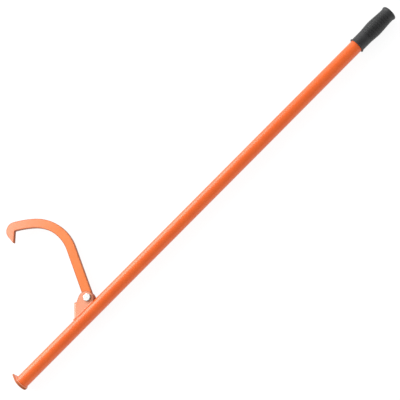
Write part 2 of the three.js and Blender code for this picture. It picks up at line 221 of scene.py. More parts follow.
def add_piece(name, points, faces, body, node, material, edge=None, painted_sheen=None):
    """A smooth mesh from points in millimetres, riding on a body in place of its CAD node. edge and
    the sheen share are shares from 0 to 1 for each point, which the materials read as painted
    shade and a painted sheen."""
    mesh = bpy.data.meshes.new(name)
    mesh.from_pydata([Vector(p) * MM for p in points], [], faces)
    mesh.validate()
    for key, values in (("edge", edge), ("painted_sheen", painted_sheen)):
        if values is not None:
            layer = mesh.attributes.new(key, "FLOAT", "POINT")
            layer.data.foreach_set("value", np.asarray(values, np.float32))
    mesh.shade_smooth()
    mesh.set_sharp_from_angle(angle=SMOOTH_ANGLE)
    piece = bpy.data.objects.new(name, mesh)
    bpy.context.scene.collection.objects.link(piece)
    mesh.materials.append(material)
    weighted = piece.modifiers.new("flat_faces_stay_flat", "WEIGHTED_NORMAL")
    weighted.keep_sharp = True
    weighted.weight = 80
    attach(piece, body)
    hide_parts(node)


def heading(angle):
    """The direction at an angle from +X, in a flat drawing."""
    return Vector((math.cos(angle), math.sin(angle)))


def left_of(angle):
    """The direction a quarter turn to the left of heading(angle)."""
    return Vector((-math.sin(angle), math.cos(angle)))


def arc(centre, radius, start, end, step=1.2):
    """Points along an arc, about a step apart."""
    count = max(3, math.ceil(abs(end - start) * radius / step))
    return [centre + radius * heading(start + (end - start) * i / count) for i in range(count + 1)]


def line(start, end, step=2.5):
    """Points along a straight line, about a step apart."""
    count = max(1, math.ceil((end - start).length / step))
    return [start.lerp(end, i / count) for i in range(count + 1)]


def quadratic(start, bend, end, count):
    """A curve that leaves start towards bend and reaches end from it."""
    shares = [i / count for i in range(count + 1)]
    return [start.lerp(bend, t).lerp(bend.lerp(end, t), t) for t in shares]


def rounded(before, corner, after, radius, count=5):
    """The arc that takes the place of a convex or concave corner."""
    one, two = (before - corner).normalized(), (after - corner).normalized()
    half = one.angle(two) / 2
    start, end = corner + one * radius / math.tan(half), corner + two * radius / math.tan(half)
    centre = corner + (one + two).normalized() * radius / math.sin(half)
    out, back = start - centre, end - centre
    turn = math.atan2(out.x * back.y - out.y * back.x, out.dot(back))
    first = math.atan2(out.y, out.x)
    return [centre + radius * heading(first + turn * i / count) for i in range(count + 1)]


def cleaned(loop, least=0.05):
    """The loop without points that lie on one another."""
    kept = []
    for point in loop:
        if not kept or (point - kept[-1]).length > least:
            kept.append(point)
    return kept if (kept[0] - kept[-1]).length > least else kept[:-1]


def room(loop):
    """For each point of a loop, how far it is straight inwards to the loop's other side."""
    here = np.array([p[:2] for p in loop])
    inward = np.array([p[:2] for p in inset(loop, 0.01)]) - here
    inward /= np.linalg.norm(inward, axis=1)[:, None]
    side = np.roll(here, -1, 0) - here
    found = []
    for place, ahead in zip(here, inward):
        gap = here - place
        slant = ahead[0] * side[:, 1] - ahead[1] * side[:, 0]
        slant[np.abs(slant) < 1e-9] = 1e-9
        far = (gap[:, 0] * side[:, 1] - gap[:, 1] * side[:, 0]) / slant
        along = (gap[:, 0] * ahead[1] - gap[:, 1] * ahead[0]) / slant
        hits = far[(far > 0.05) & (along >= 0) & (along <= 1)]
        found.append(hits.min() if len(hits) else 1000.0)
    return found


def inset(loop, amount):
    """The loop moved to its left by an amount, or by one for each point, with mitred corners."""
    moved = []
    amounts = amount if isinstance(amount, list) else [amount] * len(loop)
    befores, afters = loop[-1:] + loop[:-1], loop[1:] + loop[:1]
    for before, here, after, own in zip(befores, loop, afters, amounts):
        one, two = (here - before).normalized(), (after - here).normalized()
        across = Vector((-one.y - two.y, one.x + two.x)).normalized()
        reach = max(0.3, across.dot(Vector((-one.y, one.x))))
        moved.append(here + across * own / reach)
    return moved


def rim_line(loop, edge, rim):
    """The inner border of the rim, drawn in where the plate is narrow or its corners are tight."""
    least = edge * RIM_LEAST
    amounts = [min(edge + rim, max(least, RIM_ROOM * space)) for space in room(loop)]
    for _ in range(40):
        moved = inset(loop, amounts)
        for i in range(len(loop)):
            side, step = loop[i] - loop[i - 1], moved[i] - moved[i - 1]
            if step.dot(side) < 0.1 * side.length_squared:
                for j in (i, i - 1):
                    amounts[j] = max(least, amounts[j] * 0.9)
    return moved


def slab(outline, holes, thickness, edge, rim=0.0):
    """A plate with rounded edges, between -thickness/2 and thickness/2. Returns points, faces and
    for each point a share of painted shade near the edges, from 1 on the plate's sides to 0 on
    its faces. With a rim the share fades out over that width of the faces."""
    loops = [outline, *holes]
    levels = [(edge + rim, -thickness / 2)] if rim else []
    for i in range(EDGE_STEPS + 1):
        turn = QUARTER * (1 - i / EDGE_STEPS)
        levels.append((edge * (1 - math.cos(turn)), -thickness / 2 + edge * (1 - math.sin(turn))))
    levels += [(amount, -height) for amount, height in reversed(levels)]
    points, painted_shade_mask, faces, rings = [], [], [], []
    for loop in loops:
        rows = []
        for amount, height in levels:
            rows.append(len(points))
            share = max(0.0, 1 - amount / edge) ** 0.5
            if rim and amount <= edge:
                share = RIM_SHARE + (1 - RIM_SHARE) * share
            for p in rim_line(loop, edge, rim) if amount > edge else inset(loop, amount):
                points.append(Vector((p.x, p.y, height)))
                painted_shade_mask.append(share)
        count = len(loop)
        for low, high in zip(rows, rows[1:]):
            for i in range(count):
                j = (i + 1) % count
                faces.append((low + i, low + j, high + j, high + i))
        rings.append((rows[0], rows[-1], count))
    flat, borders, index, lift = [], [], [], {}
    for low, high, count in rings:
        borders.append([len(flat) + i for i in range(count)])
        flat += [points[low + i].to_2d() for i in range(count)]
        index += [low + i for i in range(count)]
        lift.update({low + i: high + i for i in range(count)})
    sides = [side for border in borders for side in zip(border, border[1:] + border[:1])]
    places, _, triangles, origins, *_ = delaunay_2d_cdt(flat, sides, [borders[0]], 1, 1e-7)
    source = [index[origin[0]] for origin in origins]
    # The circle inside which every triangle fills a hole, and none belongs to the plate
    circles = []
    for border in borders[1:]:
        middle = sum((flat[i] for i in border), Vector((0, 0))) / len(border)
        reach = (flat[border[0]] - middle).length * math.cos(math.pi / len(border)) * 0.999
        circles.append((middle, reach))
    for triangle in triangles:
        centre = sum((places[i] for i in triangle), Vector((0, 0))) / len(triangle)
        if any((centre - middle).length < reach for middle, reach in circles):
            continue
        low = [source[i] for i in triangle]
        faces.append(tuple(reversed(low)))
        faces.append(tuple(lift[i] for i in low))
    return points, faces, painted_shade_mask


def sliced(points, faces, painted_shade_mask, planes):
    """The mesh with its faces cut along planes, each a point and a direction."""
    mesh = bmesh.new()
    layer = mesh.verts.layers.float.new("painted_shade_mask")
    for point, value in zip(points, painted_shade_mask):
        mesh.verts.new(point)[layer] = value
    mesh.verts.ensure_lookup_table()
    for face in faces:
        mesh.faces.new([mesh.verts[i] for i in face])
    for place, across in planes:
        everything = mesh.verts[:] + mesh.edges[:] + mesh.faces[:]
        bmesh.ops.bisect_plane(mesh, geom=everything, dist=1e-4, plane_co=place, plane_no=across)
    mesh.verts.index_update()
    points = [v.co.copy() for v in mesh.verts]
    painted_shade_mask = [v[layer] for v in mesh.verts]
    faces = [tuple(v.index for v in f.verts) for f in mesh.faces]
    mesh.free()
    return points, faces, painted_shade_mask


def turned(rows, segments, axis="X", closed=False):
    """Rows of (radius, place along the axis), each a number or a function of the angle, turned
    about the axis. A row of radius 0 becomes one point. closed joins the last row to the first."""
    points, rings = [], []
    for radius, along in rows:
        if radius == 0:
            rings.append([len(points)] * segments)
            angles = [0.0]
        else:
            rings.append([len(points) + i for i in range(segments)])
            angles = [2 * math.pi * i / segments for i in range(segments)]
        for angle in angles:
            r = radius(angle) if callable(radius) else radius
            place = along(angle) if callable(along) else along
            if axis == "X":
                points.append(Vector((place, r * math.cos(angle), r * math.sin(angle))))
            else:
                points.append(Vector((r * math.cos(angle), r * math.sin(angle), place)))
    faces = []
    pairs = list(zip(rings, rings[1:])) + ([(rings[-1], rings[0])] if closed else [])
    for one, two in pairs:
        for i in range(segments):
            j = (i + 1) % segments
            corners = [one[i], one[j], two[j], two[i]]
            face = tuple(dict.fromkeys(corners))
            if len(face) > 2:
                faces.append(face)
    return points, faces


def edge_arc(corner, radius, start, end, steps=EDGE_STEPS):
    """(radius, along) rows of a rounded edge about a centre."""
    for i in range(steps + 1):
        angle = start + (end - start) * i / steps
        yield corner[0] + radius * math.cos(angle), corner[1] + radius * math.sin(angle)


def ring_rows(inner, outer, low, high, edge):
    """A ring of rectangular section with rounded edges, as rows for turned()."""
    corners = [(outer - edge, low + edge), (outer - edge, high - edge)]
    corners += [(inner + edge, high - edge), (inner + edge, low + edge)]
    rows = []
    for i, corner in enumerate(corners):
        rows += edge_arc(corner, edge, (i - 1) * QUARTER, i * QUARTER, 3)
    return rows


# Materials


def node_material(name):
    """A new material, its node tree and its shader."""
    material = bpy.data.materials.new(name)
    material.use_nodes = True
    tree = material.node_tree
    shader = next(n for n in tree.nodes if n.type == "BSDF_PRINCIPLED")
    return material, tree, shader


def noise(tree, scale, detail, roughness=0.5):
    """A noise in the piece's own coordinates. scale is in features per metre."""
    texture = tree.nodes.new("ShaderNodeTexNoise")
    texture.inputs["Scale"].default_value = scale
    texture.inputs["Detail"].default_value = detail
    texture.inputs["Roughness"].default_value = roughness
    coordinates = tree.nodes.new("ShaderNodeTexCoord")
    tree.links.new(coordinates.outputs["Object"], texture.inputs["Vector"])
    return texture.outputs["Fac"]


def spread(tree, value, low, high, to_low, to_high):
    """The value with the range from low to high laid over the one from to_low to to_high."""
    node = tree.nodes.new("ShaderNodeMapRange")
    keys = ("From Min", "From Max", "To Min", "To Max")
    for key, number in zip(keys, (low, high, to_low, to_high)):
        node.inputs[key].default_value = number
    tree.links.new(value, node.inputs["Value"])
    return node.outputs["Result"]


def combined(tree, operation, one, two):
    """Two outputs through a Math node."""
    node = tree.nodes.new("ShaderNodeMath")
    node.operation = operation
    tree.links.new(one, node.inputs[0])
    tree.links.new(two, node.inputs[1])
    return node.outputs[0]


def mixed(tree, share, one, two):
    """A colour between one and two. Either is a colour or another node's output."""
    node = tree.nodes.new("ShaderNodeMix")
    node.data_type = "RGBA"
    tree.links.new(share, node.inputs["Factor"])
    for socket, colour in ((node.inputs[6], one), (node.inputs[7], two)):
        if isinstance(colour, tuple):
            socket.default_value = (*colour, 1)
        else:
            tree.links.new(colour, socket)
    return node.outputs[2]


def attribute(tree, name):
    """A share that add_piece() gave each point of the mesh, or 0 where it gave none."""
    node = tree.nodes.new("ShaderNodeAttribute")
    node.attribute_name = name
    return node.outputs["Fac"]


def bumped(tree, shader, height, strength, distance):
    """A bump from a height. distance is in metres."""
    node = tree.nodes.new("ShaderNodeBump")
    node.inputs["Strength"].default_value = strength
    node.inputs["Distance"].default_value = distance
    tree.links.new(height, node.inputs["Height"])
    tree.links.new(node.outputs["Normal"], shader.inputs["Normal"])


def painted(name, lacquer, colour, other, edge_shade_colour=None, sheen_colour=None):
    """Powder coating: slow drifts between two colours, a faint orange-peel surface, and cut edges
    with painted shade, where the coat is also thinner and duller. With a sheen colour, a painted
    sheen makes the coat paler where the mesh asks for it."""
    material, tree, shader = node_material(name)
    drift = spread(tree, noise(tree, 34, 4, 0.6), 0.32, 0.68, 0, 1)
    base = mixed(tree, drift, colour, other)
    if sheen_colour:
        # Painted sheen: the sheen share makes the colour paler
        base = mixed(tree, attribute(tree, "painted_sheen"), base, sheen_colour)
    if edge_shade_colour:
        # Painted shade: the edge share darkens the colour, and the coat is thinner and duller there
        edge = attribute(tree, "edge")
        ragged = spread(tree, noise(tree, 420, 3), 0.3, 0.6, 0.82, 1)
        base = mixed(tree, combined(tree, "MULTIPLY", edge, ragged), base, edge_shade_colour)
        tree.links.new(spread(tree, edge, 0, 1, 0.5, 0.1), shader.inputs["Specular IOR Level"])
        tree.links.new(spread(tree, edge, 0, 0.6, lacquer, 0), shader.inputs["Coat Weight"])
    else:
        shader.inputs["Coat Weight"].default_value = lacquer
    tree.links.new(base, shader.inputs["Base Color"])
    rough = spread(tree, noise(tree, 120, 4, 0.6), 0.3, 0.7, 0.31, 0.43)
    tree.links.new(rough, shader.inputs["Roughness"])
    shader.inputs["Coat Roughness"].default_value = 0.28
    bumped(tree, shader, noise(tree, 1100, 2, 0.4), 0.012, 0.0002)
    return material


def zinc_plated(name):
    """Bright zinc in pale patches, with dark, dull painted shade where a piece marks its edge."""
    material, tree, shader = node_material(name)
    patches = spread(tree, noise(tree, 260, 4, 0.6), 0.3, 0.7, 0, 1)
    base = mixed(tree, patches, (0.80, 0.80, 0.77), (0.92, 0.92, 0.89))
    # Painted shade on the marked edge: the bolt head's sides
    base = mixed(tree, attribute(tree, "edge"), base, (0.26, 0.25, 0.235))
    tree.links.new(base, shader.inputs["Base Color"])
    shader.inputs["Metallic"].default_value = 0.7
    rough = spread(tree, noise(tree, 900, 3), 0.3, 0.7, 0.32, 0.44)
    tree.links.new(rough, shader.inputs["Roughness"])
    bumped(tree, shader, noise(tree, 1400, 2), 0.04, 0.0002)
    return material


def moulded_rubber(name):
    """Black rubber with a fine grain, and painted shade in grooves that a piece marks as its edge.
    """
    material, tree, shader = node_material(name)
    patches = spread(tree, noise(tree, 70, 4, 0.6), 0.3, 0.7, 0, 1)
    base = mixed(tree, patches, (0.026, 0.027, 0.028), (0.039, 0.040, 0.041))
    # Painted shade in the grooves
    base = mixed(tree, attribute(tree, "edge"), base, (0.004, 0.004, 0.0045))
    tree.links.new(base, shader.inputs["Base Color"])
    rough = spread(tree, noise(tree, 300, 4), 0.3, 0.7, 0.42, 0.56)
    tree.links.new(rough, shader.inputs["Roughness"])
    bumped(tree, shader, noise(tree, 1600, 3, 0.6), 0.3, 0.0003)
    return material


def blue_nylon(name):
    """The lock ring's nylon."""
    material, tree, shader = node_material(name)
    base = mixed(tree, noise(tree, 500, 2), (0.028, 0.115, 0.46), (0.045, 0.155, 0.54))
    tree.links.new(base, shader.inputs["Base Color"])
    shader.inputs["Roughness"].default_value = 0.42
    bumped(tree, shader, noise(tree, 1500, 2), 0.15, 0.0002)
    return material


# Painted shade on the cut edges of the hook and the plates
EDGE_PAINTED_SHADE = (0.44, 0.117, 0.042)
# Painted sheen, paler round the hook's bend and beak
HOOK_PAINTED_SHEEN = (0.86, 0.282, 0.150)
tube_paint = painted("tube_paint", 0.5, (0.90, 0.122, 0.007), (0.94, 0.143, 0.010))
weld_paint = painted("weld_paint", 0.5, (0.88, 0.240, 0.106), (0.91, 0.275, 0.130))
# The plates' coat is paler and pinker than the hook's: a painted sheen
plate_colours_painted_sheen = (0.79, 0.298, 0.164), (0.82, 0.326, 0.190)
plate_paint = painted("plate_paint", 0.25, *plate_colours_painted_sheen, EDGE_PAINTED_SHADE)
hook_colours = (0.77, 0.176, 0.024), (0.81, 0.196, 0.032)
hook_paint = painted("hook_paint", 0.25, *hook_colours, EDGE_PAINTED_SHADE, HOOK_PAINTED_SHEEN)
zinc_plate = zinc_plated("zinc_plate")
grip_rubber = moulded_rubber("grip_rubber")
nylon = blue_nylon("nylon")


# Tube, grip and toe plate


def add_tube():
    start, end = TOE_THICKNESS + GAP, OVERALL_LENGTH - GRIP_END_WALL - GAP
    inner, edge_middle = TUBE_RADIUS - TUBE_WALL, TUBE_RADIUS - TUBE_EDGE
    rows = [(inner, start)]
    rows += edge_arc((edge_middle, start + TUBE_EDGE), TUBE_EDGE, -QUARTER, 0, 3)
    rows += [(TUBE_RADIUS, start + (end - start) * i / 60) for i in range(1, 60)]
    rows += edge_arc((edge_middle, end - TUBE_EDGE), TUBE_EDGE, 0, QUARTER, 3)
    rows += [(inner, end - (end - start) * i / 12) for i in range(12)]
    points, faces = turned(rows, TUBE_SIDES, closed=True)
    add_piece("tube", points, faces, "lever", "handle_tube", tube_paint)


def spline(keys, count):
    """A uniform Catmull-Rom curve through the keys, as the CAD source draws it."""
    keys = [Vector(k) for k in keys]
    found = []
    for i in range(count + 1):
        place = (len(keys) - 1) * i / count
        k = min(int(place), len(keys) - 2)
        t = place - k
        before, start, end = keys[max(0, k - 1)], keys[k], keys[k + 1]
        after = keys[min(len(keys) - 1, k + 2)]
        leave, reach = (end - before) * 0.5, (after - start) * 0.5
        cubic = 2 * start - 2 * end + leave + reach
        square = 3 * end - 3 * start - 2 * leave - reach
        found.append(cubic * t**3 + square * t**2 + leave * t + start)
    return found


def rib_relief(angle, along):
    """How far the sleeve's surface is cut back: rings of short blocks, laid like bricks, with
    every second ring set apart by a wider groove."""
    ends = (along - RIBS_START) / RIB_FADE, (RIBS_END - along) / RIB_FADE
    if min(ends) <= 0:
        return 0.0
    row = (along - RIBS_START) / RIB_PITCH
    ring = abs(math.sin(math.pi * row)) ** RIB_GROOVES[round(row) % 2]
    turn = angle / (2 * math.pi) * RIB_BLOCKS + 0.5 * (math.floor(row) % 2)
    block = min(1, abs(math.sin(math.pi * turn)) * RIB_BLOCK_ENDS)
    return RIB_DEPTH * min(1, *ends) * (1 - ring * block)


def grip_row(radius, along):
    """The sleeve's radius at each angle, with its ribs and the mould's two seams."""

    def at(angle):
        seam = SEAM_HEIGHT * math.exp(-((abs(math.sin(angle)) * radius / SEAM_WIDTH) ** 2))
        return radius - SKIN_INSET - rib_relief(angle, along) + seam

    return at


def add_grip():
    start = OVERALL_LENGTH - GRIP_LENGTH
    body_start = start + FLANGE_THICKNESS
    rim_end = OVERALL_LENGTH - GRIP_DOME - GRIP_END_RADIUS
    keys = [(start + GRIP_LENGTH * share, radius) for share, radius in GRIP_SIDE]
    keys[0] = (body_start, GRIP_SIDE[0][1])
    keys.append((rim_end, GRIP_SIDE[-1][1]))
    side = spline(keys, 400)
    places, radii = [p.x for p in side], [p.y for p in side]
    bore, bore_end = TUBE_RADIUS + GAP, OVERALL_LENGTH - GRIP_END_WALL
    rows = [(bore, start + GRIP_LEAD), (bore + GRIP_LEAD, start)]
    flange = FLANGE_RADIUS - FLANGE_EDGE
    rows += edge_arc((flange, start + FLANGE_EDGE), FLANGE_EDGE, -QUARTER, 0)
    rows += edge_arc((flange, body_start - FLANGE_EDGE), FLANGE_EDGE, 0, QUARTER)
    fillet = (GRIP_SIDE[0][1] + FLANGE_FILLET, body_start + FLANGE_FILLET)
    rows += edge_arc(fillet, FLANGE_FILLET, -QUARTER, -2 * QUARTER)
    along = body_start + FLANGE_FILLET + 0.4
    while along < rim_end - 0.2:
        rows.append((grip_row(float(np.interp(along, places, radii)), along - start), along))
        along += RIB_STEP
    flat = GRIP_SIDE[-1][1] - GRIP_END_RADIUS - 0.05
    rows += edge_arc((flat, rim_end), GRIP_END_RADIUS, 0, QUARTER, 8)
    for share in (0.8, 0.6, 0.45, 0.3):
        rise = GRIP_DOME * 0.97 * (1 - share**2)
        rows.append((flat * share, OVERALL_LENGTH - GRIP_DOME + rise))
    # The mould's gate mark, in the middle of the domed end
    top = OVERALL_LENGTH - GRIP_DOME * 0.02
    rows += [(radius, top - depth) for radius, depth in GATE_MARK]
    # Ten points to a block, so that every joint between blocks is cut alike
    segments = RIB_BLOCKS * 10
    points, faces = turned(rows, segments)
    bore_rows = [(bore, start + GRIP_LEAD), (bore, bore_end), (0, bore_end)]
    inner_points, inner_faces = turned(bore_rows, segments)
    shift = len(points) - segments
    points = points + inner_points[segments:]
    for face in inner_faces:
        faces.append(tuple(reversed([i + shift if i >= segments else i for i in face])))
    # Painted shade in the grooves, deepest at their bottoms
    painted_shade_mask = [rib_relief(math.atan2(p.z, p.y), p.x - start) / RIB_DEPTH for p in points]
    add_piece("grip", points, faces, "lever", "grip_sleeve", grip_rubber, painted_shade_mask)


def add_toe_plate():
    tip_centre = Vector((LIP_REACH - LIP_TIP_RADIUS, 0))
    touch = math.acos((TOE_RADIUS - LIP_TIP_RADIUS) / tip_centre.x)
    loop = arc(Vector((0, 0)), TOE_RADIUS, touch, 2 * math.pi - touch)
    tip = arc(tip_centre, LIP_TIP_RADIUS, -touch, touch, 0.5)
    loop += line(loop[-1], tip[0], 1) + tip + line(tip[-1], loop[0], 1)
    points, faces, painted_shade_mask = slab(cleaned(loop), [], TOE_THICKNESS, TOE_EDGE)
    taper_start = LIP_REACH - LIP_TAPER
    across = Vector((1, 0, 0))
    cuts = [(across * (taper_start + i * LIP_CUT), across) for i in (-1, 0, 1)]
    points, faces, painted_shade_mask = sliced(points, faces, painted_shade_mask, cuts)
    slope = (TOE_THICKNESS - LIP_TIP_THICKNESS) / LIP_TAPER
    placed = []
    for y, z, x in points:
        x += TOE_THICKNESS / 2
        drop = slope * max(0.0, y - taper_start)
        placed.append(Vector((x * (1 - drop / TOE_THICKNESS), y, z)))
    add_piece("foot_plate", placed, faces, "lever", "toe_plate", plate_paint, painted_shade_mask)


# Welds and bracket


def bead(stations, pitch, closed=False):
    """A weld bead in the corner between two surfaces. A station is the corner, the direction up
    each surface, the bead's leg there and how far along the run it lies. Each pool of metal
    overlaps the one before it in a crescent."""
    count = BEAD_SIDES + 2
    points, rings = [], []
    for corner, one, two, leg, along in stations:
        rings.append(range(len(points), len(points) + count))
        points.append(corner.copy())
        wedge = one.angle(two)
        for i in range(BEAD_SIDES + 1):
            t = i / BEAD_SIDES
            bulge = math.sin(math.pi * t)
            pool = (along / pitch + BEAD_CRESCENT * bulge) % 1.0
            swell = 1 - BEAD_RIPPLE * (1 - math.sin(math.pi * pool) ** 0.6) * bulge**0.5
            across = one * math.sin((1 - t) * wedge) + two * math.sin(t * wedge)
            points.append(corner + across / math.sin(wedge) * leg * swell)
    faces = []
    pairs = list(zip(rings, rings[1:])) + ([(rings[-1], rings[0])] if closed else [])
    for low, high in pairs:
        for i in range(count):
            j = (i + 1) % count
            faces.append((low[i], low[j], high[j], high[i]))
    if not closed:
        faces += [tuple(reversed(rings[0])), tuple(rings[-1])]
    return points, faces


def add_toe_weld():
    """A bead round the tube's end, wider on the lip's side."""
    stations = []
    count = 360
    radius = TUBE_RADIUS + GAP
    for i in range(count):
        angle = 2 * math.pi * i / count
        off = (angle + math.pi) % (2 * math.pi) - math.pi
        radial = Vector((0, math.cos(angle), math.sin(angle)))
        corner = radial * radius + Vector((TOE_THICKNESS + GAP, 0, 0))
        leg = TOE_BEAD_LEG + LIP_BEAD_EXTRA * math.exp(-((off / LIP_BEAD_SPREAD) ** 2))
        stations.append((corner, Vector((1, 0, 0)), radial, leg, angle * radius))
    pools = round(2 * math.pi * radius / TOE_BEAD_POOL)
    points, faces = bead(stations, 2 * math.pi * radius / pools, closed=True)
    add_piece("foot_weld", points, faces, "lever", "toe_weld", weld_paint)


def bore_loop(centre):
    """The bolt's hole, drawn clockwise as slab() takes it."""
    return [centre + BORE_RADIUS * heading(-2 * math.pi * i / 48) for i in range(48)]


def folded(u, v, w):
    """A place on the bracket's flat pattern, in the part's frame. u runs across the fold, v along
    it and w through the sheet. The fold's two bends bring the ears up on both sides."""
    side, u = math.copysign(1, u), abs(u)
    centre, radius = WEB_OFFSET - SHEET - BEND_INNER, BEND_MIDDLE + w
    if u <= WEB_HALF:
        out, z = centre + radius, u
    elif u <= BEND_END:
        turn = (u - WEB_HALF) / BEND_MIDDLE
        out, z = centre + radius * math.cos(turn), WEB_HALF + radius * math.sin(turn)
    else:
        out, z = centre - (u - BEND_END), WEB_HALF + radius
    along, away = heading(WEB_ANGLE), left_of(WEB_ANGLE)
    flat_place = away * out + along * v
    return PIVOT + Vector((flat_place.x, flat_place.y, side * z))


def foot(u, w):
    """How far along the fold the bracket meets the tube."""
    place = folded(u, 0, w)
    height = math.sqrt((TUBE_RADIUS + GAP) ** 2 - place.z**2)
    return (height - place.y) / math.sin(WEB_ANGLE)


def add_bracket():
    # From the fold's top edge a straight line leads to the lobe round the pivot. From there the
    # ear's other edge runs down to the foot, parallel to the fold
    fold_end = Vector((PIVOT_ACROSS - (WEB_OFFSET - WEB_TOP_WIDTH), -WEB_TOP_DROP))
    lobe = Vector((PIVOT_ACROSS - LOBE_OFFSET, -LOBE_DROP))
    offset = fold_end - lobe
    touch = math.atan2(offset.y, offset.x) - math.acos(EAR_RADIUS / offset.length)
    rim = arc(lobe, EAR_RADIUS, touch % (2 * math.pi), 0)
    end_u = lobe.x + EAR_RADIUS
    half = line(Vector((0, -WEB_TOP_DROP)), fold_end, 1) + line(fold_end, rim[0], 1.5) + rim
    half += line(rim[-1], Vector((end_u, foot(end_u, 0))), 2)
    steps = 60
    bottom = [Vector((end_u * (1 - i / steps), 0)) for i in range(steps + 1)]
    for p in bottom:
        p.y = foot(p.x, 0)
    right = half + bottom  # clockwise, from the fold's top to the middle of the foot
    left = [Vector((-p.x, p.y)) for p in reversed(right)]
    loop = cleaned(list(reversed(right)) + list(reversed(left)))
    holes = [bore_loop(Vector((side * PIVOT_ACROSS, 0))) for side in (1, -1)]
    points, faces, painted_shade_mask = slab(loop, holes, SHEET, SHEET_EDGE, RIM)
    cuts = []
    for i in range(BEND_CUTS + 1):
        u = WEB_HALF + BEND_MIDDLE * QUARTER * i / BEND_CUTS
        cuts += [(Vector((side * u, 0, 0)), Vector((1, 0, 0))) for side in (1, -1)]
    points, faces, painted_shade_mask = sliced(points, faces, painted_shade_mask, cuts)
    placed = []
    for u, v, w in points:
        low = foot(u, 0)
        share = min(1.0, max(0.0, 1 - (v - low) / FOOT_FIT))
        placed.append(folded(u, v + (foot(u, w) - low) * share, w))
    add_piece("bracket", placed, faces, "lever", "clevis_bracket", plate_paint, painted_shade_mask)


def bracket_bead(name, node, u_start, u_end):
    """A bead in the corner between the bracket's outer face and the tube. It runs between two
    places across the fold, the lower one first."""
    count = max(24, int((u_end - u_start) / BEAD_STEP))
    places = []
    for i in range(count + 1):
        u = u_start + (u_end - u_start) * i / count
        places.append(folded(u, foot(u, SHEET / 2 + GAP), SHEET / 2 + GAP))
    stations, run = [], 0.0
    total = sum((b - a).length for a, b in zip(places, places[1:]))
    for i, corner in enumerate(places):
        tangent = (places[min(i + 1, count)] - places[max(i - 1, 0)]).normalized()
        if i:
            run += (corner - places[i - 1]).length
        u = u_start + (u_end - u_start) * i / count
        face = (folded(u, 0, 1) - folded(u, 0, 0)).normalized()
        round_tube = Vector((0, corner.y, corner.z)).normalized()
        up = tangent.cross(face)
        up = up if up.dot(round_tube) > 0 else -up
        away = tangent.cross(round_tube)
        away = away if away.dot(face) > 0 else -away
        away = (away - round_tube * BRACKET_BEAD_LEAN).normalized()
        ends = min(run, total - run) / BRACKET_BEAD_END
        leg = BRACKET_BEAD_LEG * math.sqrt(max(0.02, 1 - (1 - min(1.0, ends)) ** 2))
        stations.append((corner, up.normalized(), away, leg, run))
    points, faces = bead(stations, BRACKET_BEAD_POOL)
    add_piece(name, points, faces, "lever", node, weld_paint)


# Hook


def hook_outline():
    """The hook's edge, with the bolt hole at the origin and the straight arm along +X."""
    half = BAR_WIDTH / 2
    crown_end = BEND_SWEEP + CROWN_SWEEP
    beak = crown_end + BEAK_TURN
    cut = beak + TIP_ANGLE
    bend = Vector((ARM_LENGTH, BEND_RADIUS))
    crown = bend + left_of(BEND_SWEEP) * (CROWN_RADIUS - BEND_RADIUS)
    throat = crown + left_of(crown_end) * (half - CROWN_RADIUS)
    back = throat + left_of(crown_end) * (BEAK_RADIUS - BAR_WIDTH)
    reach = BEAK_RADIUS + (back - throat).dot(left_of(cut + math.pi))
    tip = throat + heading(beak) * reach / math.sin(TIP_ANGLE)
    tip_outer = tip - heading(cut) * TIP_BLUNT
    tip_inner = tip - heading(beak) * TIP_BLUNT
    throat_start = throat + heading(beak) * THROAT_FILLET
    crown_start = crown_end - THROAT_FILLET / (CROWN_RADIUS - half)
    crown_point = crown + left_of(crown_start) * (half - CROWN_RADIUS)
    loop = line(Vector((0, -half)), Vector((ARM_LENGTH, -half)))
    loop += arc(bend, BEND_RADIUS + half, -QUARTER, BEND_SWEEP - QUARTER)
    loop += arc(crown, CROWN_RADIUS + half, BEND_SWEEP - QUARTER, crown_end - QUARTER)
    loop += arc(back, BEAK_RADIUS, crown_end - QUARTER, cut - QUARTER)
    back_end = loop[-1]
    loop += rounded(back_end, tip_outer, tip_inner, 1.0)
    loop += rounded(tip_outer, tip_inner, throat_start, 1.0)
    loop += line(tip_inner.lerp(throat_start, 0.1), throat_start)
    loop += quadratic(throat_start, throat, crown_point, 6)
    loop += arc(crown, CROWN_RADIUS - half, crown_start - QUARTER, BEND_SWEEP - QUARTER)
    loop += arc(bend, BEND_RADIUS - half, BEND_SWEEP - QUARTER, -QUARTER)
    loop += line(Vector((ARM_LENGTH, half)), Vector((0, half)))
    loop += arc(Vector((0, 0)), half, QUARTER, 3 * QUARTER)
    return cleaned(loop)


def add_hook():
    loop = inset(hook_outline(), OUTLINE_INSET)
    points, faces, painted_shade_mask = slab(loop, [bore_loop(Vector((0, 0)))], BAR_THICKNESS, BAR_EDGE, RIM)
    # More points across the flat faces, so that the painted sheen along the hook can follow them
    cuts = [(Vector((x, 0, 0)), Vector((1, 0, 0))) for x in range(20, 260, 20)]
    points, faces, painted_shade_mask = sliced(points, faces, painted_shade_mask, cuts)
    bend = Vector((ARM_LENGTH, BEND_RADIUS))
    # Painted sheen share: 0 on the arm, growing round the bend towards the beak
    painted_sheen = []
    for p in points:
        if p.x < ARM_LENGTH and p.y < BEND_RADIUS:
            painted_sheen.append(0.0)
        else:
            out = p.to_2d() - bend
            turn = (math.atan2(out.y, out.x) + QUARTER) % (2 * math.pi)
            painted_sheen.append(min(1.0, max(0.0, (turn - SHEEN_START) / SHEEN_SWEEP)))
    rest = Matrix.Translation(PIVOT) @ Matrix.Rotation(ARM_ANGLE, 4, "Z")
    placed = [rest @ p for p in points]
    add_piece("hook", placed, faces, "hook", "hook_arm", hook_paint, painted_shade_mask, painted_sheen)


# Bolt, washer and nut


def hexagon(angle):
    """Radius of a hexagon with eased corners at an angle."""
    off = (angle % (math.pi / 3)) - math.pi / 6
    return min(ACROSS_FLATS / 2 / math.cos(off), ACROSS_FLATS / 2 * CORNER_SHARE)


